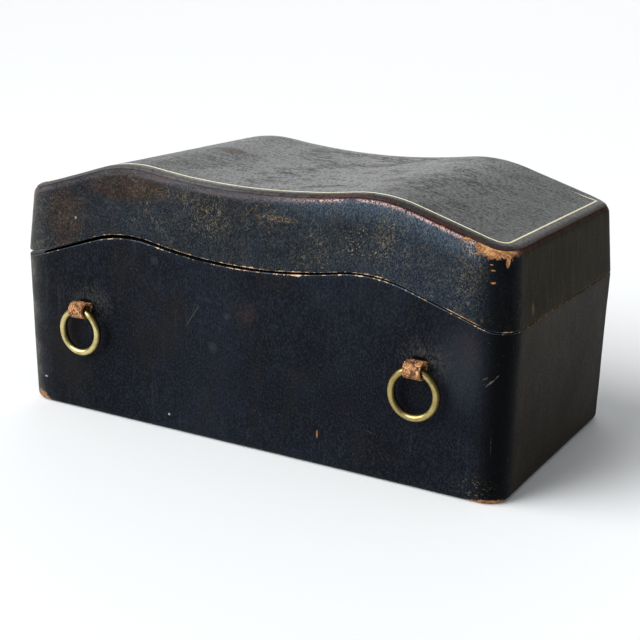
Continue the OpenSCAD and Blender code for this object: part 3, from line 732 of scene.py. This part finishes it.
# The top sheet. A thicker sheet is laid over the lid's waved top and ends a little way down
# the rolled edge, where its cut edge stands just proud of the hide below it.
SHEET_PROUD, SHEET_T = 0.3 * MM, 1.4 * MM
ROLL_STEPS = 6
edge_turn = math.acos(1 - TOP_DROP / ROLL_R)
drawn_in = ROLL_R * (1 - math.sin(edge_turn)) - SHEET_PROUD
half_l, half_d = HALF_L - LID_LEAN - drawn_in, HALF_D - LID_LEAN - drawn_in
corner = CORNER_R - drawn_in
bpy.ops.object.select_all(action="DESELECT")
bpy.ops.mesh.primitive_plane_add(size=1, location=(0, 0, LID_END_H - TOP_DROP + SHEET_PROUD))
top_sheet = stretched("top_sheet", (2 * half_l, 2 * half_d, 1))
bpy.ops.mesh.select_all(action="SELECT")
bpy.ops.mesh.bevel(offset=corner, segments=12, affect="VERTICES")
pick("EDGE", lambda e: span(e)[0] > half_l)
bpy.ops.mesh.subdivide(number_cuts=ALONG)
pick("FACE", lambda f: True)
for step in range(ROLL_STEPS):
    old, new = (edge_turn * (1 - (step + k) / ROLL_STEPS) for k in (0, 1))
    bpy.ops.mesh.inset(thickness=ROLL_R * (math.sin(old) - math.sin(new)),
                       depth=ROLL_R * (math.cos(new) - math.cos(old)))
lift(lambda v: True, lambda x: wave(x, TOP_WAVE))
pick("EDGE", lambda e: span(e)[1] > BOX_D / 3)
bpy.ops.mesh.subdivide(number_cuts=ACROSS)
bpy.ops.object.mode_set(mode="OBJECT")
surface_life(top_sheet, 0.3 * MM, 0.12 * MM)
finish_with(top_sheet, "SOLIDIFY", thickness=SHEET_T, offset=-1, use_even_offset=True)
bpy.ops.object.shade_smooth_by_angle(angle=SMOOTH_BELOW)
keep_measure(top_sheet, "from_edge", lambda x, y, z: inside_outline(x, y, half_l, half_d, corner))
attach(top_sheet, "lid")
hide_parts("lid_top_leather")

handled_calf, root, place, shader = start_finish("handled_calf", specular_ior_level=0.06,
                                                 coat_roughness=0.48)
x, y, z = place.axes()
edge = root.stored("from_edge")
clouds = place.noise(14, 5, 0.6)
where = place.noise(30, 3, 0.6)
grain = place.noise(950, 3, 0.6)
pits = place.shifted((0.8, 0.5, 1)).noise(900, 2, 0.5)
fine = place.shifted((0.8, 0.5, 1), (0.3, 0.1, 0)).noise(1300, 3, 0.65)
mottle = place.noise(300, 4, 0.65)
folds = (place.shifted((85, 190, 1)).warped(2.0, 0.6).noise(1.0, 3, 0.6, 0.6) - 0.5)
worn = place.noise(75, 4, 0.6)
rubs = place.shifted((60, 190, 1)).noise(1.0, 4, 0.65)
inner_field = edge.rise(5.6, 6.4)
calm = 1.0 - x.rise(0.085, 0.115) * 0.7 - x.rise(0.0, -0.05) * 0.4
creased = folds.line(0.085) * where.rise(0.45, 0.57) * inner_field * calm
skin = clouds.rise(0.35, 0.7).mixed((44, 47, 46), (32, 34, 34))
skin = (mottle.rise(0.45, 0.7) * 0.5).mixed(skin, (56, 60, 57))
skin = (fine.rise(0.52, 0.66) * (0.3 + calm * 0.3)).mixed(skin, (100, 106, 102))
pitted = pits.rise(0.54, 0.64) * (0.3 + inner_field * 0.6) * (0.4 + calm * 0.6)
skin = pitted.mixed(skin, (8, 9, 9))
skin = (creased * 0.65).mixed(skin, (15, 15, 14))
# The border outside the gilt line is painted darker at the right and paler at the left: partly its
# own browner tone, partly painted shade and light on its turned-down slope.
border = x.rise(0.03, -0.03).mixed((36, 33, 29), (88, 86, 84))
skin = ((1.0 - inner_field) * 0.7).mixed(skin, border)
scuff = place.length_from((-0.092, 0.008, 0.131), (0.022, 0.013, 0.02))
for spot_x, spot_y, long in ((0.056, -0.026, 0.015), (0.057, 0.052, 0.016),
                             (-0.058, 0.004, 0.018), (0.022, 0.030, 0.014)):
    near_spot = place.length_from((spot_x, spot_y, 0.133), (long, long * 0.8, 0.02))
    scuff = root.math("MINIMUM", scuff, near_spot)
scuffs = (scuff + worn * 1.4 + rubs * 1.1).rise(1.95, 1.62)
scuffs = scuffs + rubs.rise(0.62, 0.70) * worn.rise(0.5, 0.62) * inner_field * calm * 0.6
scuffs = scuffs.rise(0, 1)
skin = (scuffs * 0.72).mixed(skin, mottle.rise(0.4, 0.62).mixed((50, 38, 34), (84, 61, 51)))
margin = edge.rise(2.9, 0.5)
skin = (margin * worn.rise(0.36, 0.55) * (0.15 + x.rise(0, 0.06) * 0.7)).mixed(skin, (60, 30, 26))
cut_edge = x.rise(0.03, -0.03).mixed((30, 18, 15), (58, 48, 46))
skin = (edge.rise(0.4, 0.0) * 0.9).mixed(skin, cut_edge)
for spot_x, spot_y, long in ((0.1007, 0.0147, 0.0045), (0.1176, 0.0308, 0.0040)):
    crease = place.mark((spot_x, spot_y, 0.125), (long, 0.0007, 0.006), 0.6)
    skin = crease.mixed(skin, (26, 18, 16))
red_nick = place.mark((0.0905, -0.0680, 0.1275), (0.0016, 0.0022, 0.002), 0.5)
skin = red_nick.mixed(skin, (120, 52, 36))
wax = (0.36 + clouds) * (0.55 + fine * 0.7)
wax = wax * (1.0 - pits.rise(0.52, 0.62) * (0.3 + where * 0.5))
wax = wax * (1.0 - creased * 0.85) * (1.0 - scuffs * 0.7) * (1.0 - mottle.rise(0.52, 0.7) * 0.3)
wax = wax * (1.0 - x.rise(0.03, 0.10) * 0.36)
wax = wax * (1.0 + x.rise(-0.02, -0.07) * (y.rise(-0.03, 0.03) * 0.22 - 0.32))
end_finish(root, shader, skin, 0.42 + mottle * 0.16 + clouds * 0.08 - scuffs * 0.06,
           grain * 0.5 + mottle * 0.9 - pits.rise(0.55, 0.7) * 0.7 - creased - scuffs * 0.3,
           0.0006, wax)
cover(top_sheet, handled_calf)


# The gilt line. A single fillet, tooled with gold leaf, runs round the top sheet inside its
# edge, rounded at the front corners and square at the back ones.
GILT_W, GILT_T = 0.78 * MM, 0.06 * MM
GILT_X, GILT_FRONT, GILT_BACK = 131.3 * MM, -65.1 * MM, 60.4 * MM
GILT_CORNER, ABOVE_TOP = 6.5 * MM, 160 * MM
bpy.ops.object.select_all(action="DESELECT")
bpy.ops.mesh.primitive_plane_add(
    size=1, location=(0, (GILT_FRONT + GILT_BACK) / 2, ABOVE_TOP))
gilt_line = stretched("gilt_line", (2 * GILT_X, GILT_BACK - GILT_FRONT, 1))
pick("VERT", lambda v: v.co.y < 0)
bpy.ops.mesh.bevel(offset=GILT_CORNER, segments=8, affect="VERTICES")
pick("EDGE", lambda e: max(span(e)) > 20 * MM)
bpy.ops.mesh.subdivide(number_cuts=260)
pick("FACE", lambda f: True)
bpy.ops.mesh.inset(thickness=GILT_W)
bpy.ops.mesh.delete(type="FACE")
bpy.ops.object.mode_set(mode="OBJECT")
finish_with(gilt_line, "SHRINKWRAP", target=top_sheet, wrap_method="PROJECT", use_project_z=True,
            use_negative_direction=True, use_positive_direction=False, offset=0.03 * MM)
finish_with(gilt_line, "SOLIDIFY", thickness=GILT_T, offset=0)
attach(gilt_line, "lid")

gold_leaf, root, place, shader = start_finish("gold_leaf", metallic=0.25)
x, y, z = place.axes()
rub = place.noise(900, 3, 0.7)
fade = place.noise(60, 3, 0.6)
leaf = (rub + fade * 0.5).rise(0.80, 1.0).mixed((255, 246, 200), (180, 162, 112))
rubbed_away = y.rise(0.054, 0.058) * x.rise(0.129, 0.112) * (0.8 + fade * 0.4)
leaf = (x.rise(0.1300, 0.1309) * 0.5).mixed(leaf, (176, 160, 112))
leaf = rubbed_away.rise(0, 1).mixed(leaf, (66, 62, 50))
end_finish(root, shader, leaf, 0.34 + rub * 0.2, rub, 0.00004)
cover(gilt_line, gold_leaf)


# The linings. Thin card, covered in crimson velvet, is glued inside the walls, on the floor
# and under the top, its edges a little below the rims.
CAVITY_L, CAVITY_D, CAVITY_R = 132.8 * MM, 67.3 * MM, 5 * MM
BOARD_T, LINING_T, REVEAL = 6 * MM, 1.6 * MM, 1 * MM
FLOOR_H = HIDE_T + BOARD_T


def soften(piece, width):
    """Rounds the sharp edges of a piece."""
    finish_with(piece, "BEVEL", width=width, segments=2, limit_method="ANGLE",
                angle_limit=math.radians(60))


def lining_wall(name, low, high, low_lift, high_lift):
    """A band of covered card round the inside, with soft edges."""
    band = rounded_block(name, 2 * CAVITY_L, 2 * CAVITY_D, low, high, CAVITY_R, 6, 110)
    pick("FACE", lambda f: abs(f.normal.z) > 0.9)
    bpy.ops.mesh.delete(type="FACE")
    lift(lambda v: near(v.co.z, low), low_lift)
    lift(lambda v: near(v.co.z, high, 1e-4) or v.co.z > high, high_lift)
    even_out(10, 60, (high - low) / 3)
    finish_with(band, "SOLIDIFY", thickness=LINING_T, offset=-1, use_even_offset=True)
    soften(band, 0.5 * MM)
    bpy.ops.object.shade_smooth()
    return band


velvet_level = SEAM_H - HIDE_T - REVEAL
base_wall_velvet = lining_wall("base_wall_velvet", FLOOR_H, velvet_level, lambda x: 0.0,
                               lambda x: wave(x, SEAM_WAVE))
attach(base_wall_velvet, "base")
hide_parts("base_wall_lining")

lid_low = SEAM_H + HIDE_T + REVEAL
lid_high = LID_END_H - HIDE_T - BOARD_T - LINING_T
lid_wall_velvet = lining_wall("lid_wall_velvet", lid_low, lid_high,
                              lambda x: wave(x, SEAM_WAVE) + gap(x), lambda x: wave(x, TOP_WAVE))
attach(lid_wall_velvet, "lid")
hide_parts("lid_wall_lining")


def lining_panel(name, inset, low, height):
    """A flat panel of covered card that fills the inside, with rounded corners, soft edges and a
    given rise along its length.
    """
    bpy.ops.object.select_all(action="DESELECT")
    bpy.ops.mesh.primitive_grid_add(x_subdivisions=132, y_subdivisions=66, size=1,
                                    location=(0, 0, low + LINING_T))
    panel = stretched(name, (2 * (CAVITY_L - inset), 2 * (CAVITY_D - inset), 1))
    for corner_x in (-1, 1):
        for corner_y in (-1, 1):
            for angle in (15, 45, 75):
                out = Vector((corner_x * math.cos(math.radians(angle)),
                              corner_y * math.sin(math.radians(angle)), 0))
                radius = CAVITY_R - inset
                heart = Vector((corner_x * (CAVITY_L - inset - radius),
                                corner_y * (CAVITY_D - inset - radius), 0))
                bpy.ops.mesh.select_all(action="SELECT")
                bpy.ops.mesh.bisect(plane_co=heart + out * radius, plane_no=out,
                                    clear_outer=True)
    lift(lambda v: True, height)
    bpy.ops.object.mode_set(mode="OBJECT")
    finish_with(panel, "SOLIDIFY", thickness=LINING_T, offset=-1)
    soften(panel, 0.5 * MM)
    bpy.ops.object.shade_smooth()
    return panel


floor_velvet = lining_panel("floor_velvet", LINING_T, FLOOR_H, lambda x: 0.0)
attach(floor_velvet, "base")
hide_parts("base_floor_lining")
lid_velvet = lining_panel("lid_velvet", 0, LID_END_H - HIDE_T - BOARD_T - LINING_T,
                          lambda x: wave(x, TOP_WAVE))
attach(lid_velvet, "lid")
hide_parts("lid_top_lining")

crimson_velvet, root, place, shader = start_finish("crimson_velvet", specular_ior_level=0.03,
                                                   sheen_weight=0.12, sheen_roughness=0.5)
fade = place.noise(20, 4, 0.6)
pile = place.noise(2200, 2, 0.6)
crush = place.shifted((1, 1, 2.2)).warped(40, 0.02).noise(42, 4, 0.6)
cloth = fade.rise(0.35, 0.7).mixed((98, 22, 30), (74, 16, 24))
cloth = (crush.rise(0.38, 0.68) * 0.45).mixed(cloth, (120, 38, 44))
cloth = (pile.rise(0.5, 0.7) * 0.4).mixed(cloth, (52, 10, 16))
end_finish(root, shader, cloth, 0.85 + fade * 0.1, pile + crush * 0.8, 0.00035)
for piece in (base_wall_velvet, lid_wall_velvet, floor_velvet, lid_velvet):
    cover(piece, crimson_velvet)


# The hinges. Two small brass hinges are let in flush at the crests of the back, each leaf
# held by two screws. They are the model's own solids, and so are the tacks that hold the
# ring loops inside the front. Their brass is dull.
dull_brass, root, place, shader = start_finish("dull_brass", metallic=1.0)
tarnish = place.noise(180, 4, 0.65)
scratches = place.shifted((2600, 500, 500)).noise(1.0, 2, 0.5)
metal = tarnish.rise(0.35, 0.7).mixed((170, 140, 78), (92, 72, 40))
end_finish(root, shader, metal, 0.36 + tarnish * 0.25, scratches + tarnish * 0.4, 0.00005)
dress(["base_leaf_left", "base_leaf_right", "lid_leaf_left", "lid_leaf_right", "hinge_pin_left",
       "hinge_pin_right", "base_hinge_screws", "lid_hinge_screws", "loop_tacks"], dull_brass)


# The ring loops. A strip of rough tan leather is folded round each ring, and its two ends
# go through a slit in the front and are tacked down inside.
RING_Y, LOOP_W, LOOP_T, EYE_MEAN_R = -78.885 * MM, 8.6 * MM, 1.3 * MM, 3.635 * MM
SLIT_RISE, TAIL = 2 * MM, 12 * MM
TAIL_Y = -CAVITY_D - LOOP_T / 2 + 0.15 * MM
scored_strip = soft_texture("scored_strip", 0.0016, 3)


def ring_loop(name, x, axis_h):
    """One strip: a tail, its neck, round the ring's wire, and back to the other tail."""
    upper, lower = SLIT_RISE + LOOP_T / 2, SLIT_RISE - LOOP_T / 2
    bpy.ops.object.select_all(action="DESELECT")
    bpy.ops.mesh.primitive_plane_add(size=1, location=(x, TAIL_Y, axis_h + upper + TAIL / 2),
                                     rotation=(math.pi / 2, 0, 0))
    strip = stretched(name, (LOOP_W, TAIL, 1))
    pick("EDGE", lambda e: near(e.verts[0].co.z, axis_h + upper)
         and near(e.verts[1].co.z, axis_h + upper))
    leave = math.asin(upper / EYE_MEAN_R)
    meet = math.asin(lower / EYE_MEAN_R)
    forward = RING_Y + EYE_MEAN_R * math.cos(leave)
    bpy.ops.mesh.extrude_region_move(
        TRANSFORM_OT_translate={"value": (0, forward - TAIL_Y, 0)})
    bpy.ops.mesh.spin(steps=30, angle=-(math.tau - leave + meet), center=(x, RING_Y, axis_h),
                      axis=(1, 0, 0))
    bpy.ops.mesh.extrude_region_move(TRANSFORM_OT_translate={
        "value": (0, TAIL_Y - RING_Y - EYE_MEAN_R * math.cos(meet), 0)})
    bpy.ops.mesh.extrude_region_move(TRANSFORM_OT_translate={"value": (0, 0, -TAIL)})
    bpy.ops.mesh.select_all(action="SELECT")
    bpy.ops.mesh.remove_doubles(threshold=1e-6)
    pick("EDGE", lambda e: max(span(e)[1:]) > 2 * MM and span(e)[0] < 1e-6)
    bpy.ops.mesh.subdivide(number_cuts=8)
    pick("EDGE", lambda e: span(e)[0] > LOOP_W / 2)
    bpy.ops.mesh.subdivide(number_cuts=14)
    bpy.ops.object.mode_set(mode="OBJECT")
    finish_with(strip, "SOLIDIFY", thickness=LOOP_T, offset=0)
    soften(strip, 0.25 * MM)
    finish_with(strip, "SUBSURF", levels=1, render_levels=1)
    finish_with(strip, "DISPLACE", texture=scored_strip, texture_coords="LOCAL",
                strength=0.15 * MM, mid_level=0.7)
    bpy.ops.object.shade_smooth()
    return strip


rough_tan, root, place, shader = start_finish("rough_tan", specular_ior_level=0.25)
ridges = place.warped(500, 0.002).noise(900, 3, 0.7)
blots = place.noise(380, 3, 0.6)
strap = blots.rise(0.40, 0.60).mixed((166, 112, 66), (104, 66, 40))
strap = ridges.rise(0.54, 0.62).mixed(strap, (216, 172, 122))
strap = ridges.rise(0.45, 0.38).mixed(strap, (44, 28, 17))
end_finish(root, shader, strap, 0.6 + ridges * 0.25, ridges, 0.0004)

for side, word, axis_h in RINGS:
    loop = ring_loop(f"loop_{word}", side * RING_X, axis_h)
    cover(loop, rough_tan)
    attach(loop, "base")
    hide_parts(f"ring_loop_{word}")


# The rings. Each is a length of round brass wire, bent and brazed, and worn bright where it is
# handled; its back and flanks are painted darker, partly tarnish and partly painted shade. It hangs
# in its loop, flat against the front.
RING_R, WIRE_R = 11.35 * MM, 1.9 * MM
worn_brass, root, place, shader = start_finish("worn_brass", metallic=1.0)
tarnish = place.noise(150, 4, 0.6)
film = place.noise(420, 3, 0.6)
nicks = place.warped(900, 0.0006).noise(1500, 2, 0.5)
metal = tarnish.rise(0.4, 0.7).mixed((206, 192, 132), (166, 148, 92))
metal = (film.rise(0.50, 0.66) * 0.35).mixed(metal, (140, 118, 64))
# The wire's back, against the box, and its two flanks as seen from the front are painted darker:
# partly tarnish, partly painted shade of the round wire.
back_tarnish_and_shade = place.axes()[1].rise(RING_Y - 1.7 * MM, RING_Y + 0.4 * MM)
for side, word, axis_h in RINGS:
    heart = (side * RING_X, RING_Y, axis_h - RING_R)
    from_wire = place.length_from(heart, (1, 1000, 1)) - RING_R
    flank = from_wire.unsigned().rise(0.5 * MM, 1.6 * MM)
    back_tarnish_and_shade = back_tarnish_and_shade + flank * place.mark(heart, (0.03, 0.03, 0.03), 0.1) * (0.75 + side * 0.15)
back_tarnish_and_shade = back_tarnish_and_shade.rise(0, 1)
metal = (place.axes()[0].rise(-0.02, 0.02) * 0.42).mixed(metal, (110, 90, 46))
metal = (back_tarnish_and_shade * 0.9).mixed(metal, (76, 60, 28))
end_finish(root, shader, metal, 0.14 + tarnish * 0.14 + back_tarnish_and_shade * 0.2,
           film * 0.6 + nicks * 0.3, 0.00005)
bent_wire = soft_texture("bent_wire", 0.009)

for side, word, axis_h in RINGS:
    bpy.ops.object.select_all(action="DESELECT")
    bpy.ops.mesh.primitive_torus_add(
        location=(side * RING_X, RING_Y, axis_h - RING_R),
        rotation=(math.pi / 2, 0, 0), major_segments=128, minor_segments=32,
        major_radius=RING_R, minor_radius=WIRE_R)
    wire_ring = bpy.context.object
    wire_ring.name = wire_ring.data.name = f"brass_ring_{word}"
    bpy.ops.object.transform_apply(location=True, rotation=True, scale=True)
    finish_with(wire_ring, "DISPLACE", texture=bent_wire, texture_coords="LOCAL",
                strength=0.05 * MM, mid_level=0.6)
    bpy.ops.object.shade_smooth()
    cover(wire_ring, worn_brass)
    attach(wire_ring, f"ring_{word}")
    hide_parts(f"ring_{word}")
